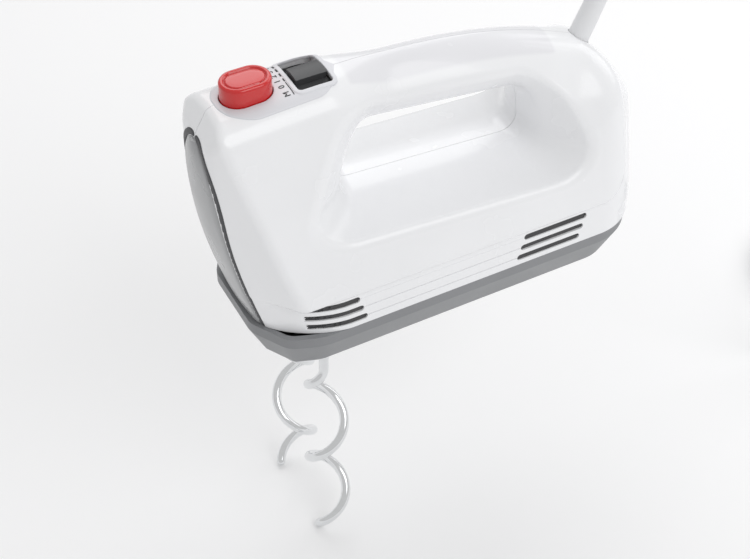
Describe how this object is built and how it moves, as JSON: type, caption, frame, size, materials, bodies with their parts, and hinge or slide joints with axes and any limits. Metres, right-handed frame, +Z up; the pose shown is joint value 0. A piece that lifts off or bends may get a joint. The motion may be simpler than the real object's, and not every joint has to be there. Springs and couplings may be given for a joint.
{
  "type": "hand mixer",
  "caption": "Hand mixer with a D-shaped hand opening, eject button and speed slider on top, twin counter-rotating dough hooks below and a mains cord.",
  "frame": {"origin": "centre of the flat underside, the face that sits in a stand's cradle; the hooks hang below it", "axes": "+Z up, +X towards the cord, -X towards the nose, casing symmetric about the plane y = 0"},
  "size_m": [0.415, 0.0857, 0.323],
  "materials": {
    "white_gloss": "glossy moulded plastic",
    "panel_grey": "satin moulded plastic",
    "plate_grey": "satin moulded plastic",
    "border_grey": "fine matt texture",
    "tray_grey": "fine matt texture",
    "button_red": "glossy",
    "slider_dark": "satin",
    "vent_dark": "matt",
    "inner_plastic": "natural glass-filled nylon",
    "gear_nylon": "natural acetal",
    "steel": "ground",
    "hook_chrome": "polished chrome",
    "screw_steel": "zinc plated",
    "lamination": "stacked electrical steel",
    "copper": "enamelled winding",
    "carbon": "carbon",
    "bronze": "sintered bronze",
    "board": "circuit board",
    "cord_white": "satin sheath",
    "wire_brown": "core insulation",
    "tie_black": "woven tie",
    "pin_nickel": "nickel plated"
  },
  "bodies": {
    "housing": {"left_shell": "white_gloss", "right_shell": "white_gloss", "control_panel": "panel_grey", "nose_border": "border_grey", "nose_plate": "plate_grey", "bottom_tray": "tray_grey", "left_vent_screens": "vent_dark", "right_vent_screens": "vent_dark", "casing_screws": "screw_steel", "tray_screws": "screw_steel", "eject_spring": "steel", "switch_module": "inner_plastic", "control_board": "board", "suppression_capacitor": "inner_plastic", "handle_wires": "wire_brown", "motor_wires": "wire_brown", "field_core": "lamination", "field_coils": "copper", "front_bearing": "bronze", "rear_bearing": "bronze", "rear_bracket": "inner_plastic", "carbon_brushes": "carbon", "brush_holders": "bronze", "brush_springs": "steel", "gearbox_frame": "inner_plastic", "upper_bushes": "bronze", "lower_bushes": "bronze", "strain_relief": "cord_white", "mains_cord": "cord_white", "cord_coil": "cord_white", "coil_tie": "tie_black", "mains_plug": "cord_white", "plug_pins": "pin_nickel"},
    "armature": {"motor_shaft": "steel", "armature_core": "lamination", "armature_windings": "copper", "commutator": "copper", "cooling_fan": "inner_plastic", "worm": "steel"},
    "left_drive": {"left_spindle": "steel", "left_worm_wheel": "gear_nylon"},
    "right_drive": {"right_spindle": "steel", "right_worm_wheel": "gear_nylon"},
    "left_hook": {"left_dough_hook": "hook_chrome", "left_hook_collar": "inner_plastic"},
    "right_hook": {"right_dough_hook": "hook_chrome", "right_hook_collar": "inner_plastic"},
    "ejector": {"eject_button": "button_red", "ejector_fork": "inner_plastic"},
    "slider": {"speed_slider": "slider_dark"}
  },
  "joints": [
    {"name": "motor_spin", "type": "hinge", "parent": "housing", "child": "armature", "pos_m": [0, 0, 0.032], "axis": [1, 0, 0], "continuous": true},
    {"name": "left_spindle_spin", "type": "hinge", "parent": "housing", "child": "left_drive", "pos_m": [-0.034, -0.017, 0.032], "axis": [0, 0, 1], "continuous": true},
    {"name": "right_spindle_spin", "type": "hinge", "parent": "housing", "child": "right_drive", "pos_m": [-0.034, 0.017, 0.032], "axis": [0, 0, 1], "continuous": true},
    {"name": "eject_press", "type": "slide", "parent": "housing", "child": "ejector", "axis": [0, 0, -1], "range_m": [0, 0.006], "stiffness_N_per_m": 900, "springref_m": -0.003, "deforming": ["eject_spring"]},
    {"name": "left_hook_release", "type": "slide", "parent": "left_drive", "child": "left_hook", "axis": [0, 0, -1], "range_m": [0, 0.006]},
    {"name": "right_hook_release", "type": "slide", "parent": "right_drive", "child": "right_hook", "axis": [0, 0, -1], "range_m": [0, 0.006]},
    {"name": "speed_select", "type": "hinge", "parent": "housing", "child": "slider", "pos_m": [-0.029, 0, 0.103], "axis": [-1, 0, 0], "range_deg": [-9, 26]}
  ],
  "couplings": [
    {"joint": "left_spindle_spin", "follows": "motor_spin", "ratio": 0.076923},
    {"joint": "right_spindle_spin", "follows": "motor_spin", "ratio": -0.076923},
    {"joint": "left_hook_release", "follows": "eject_press", "ratio": 1},
    {"joint": "right_hook_release", "follows": "eject_press", "ratio": 1}
  ]
}
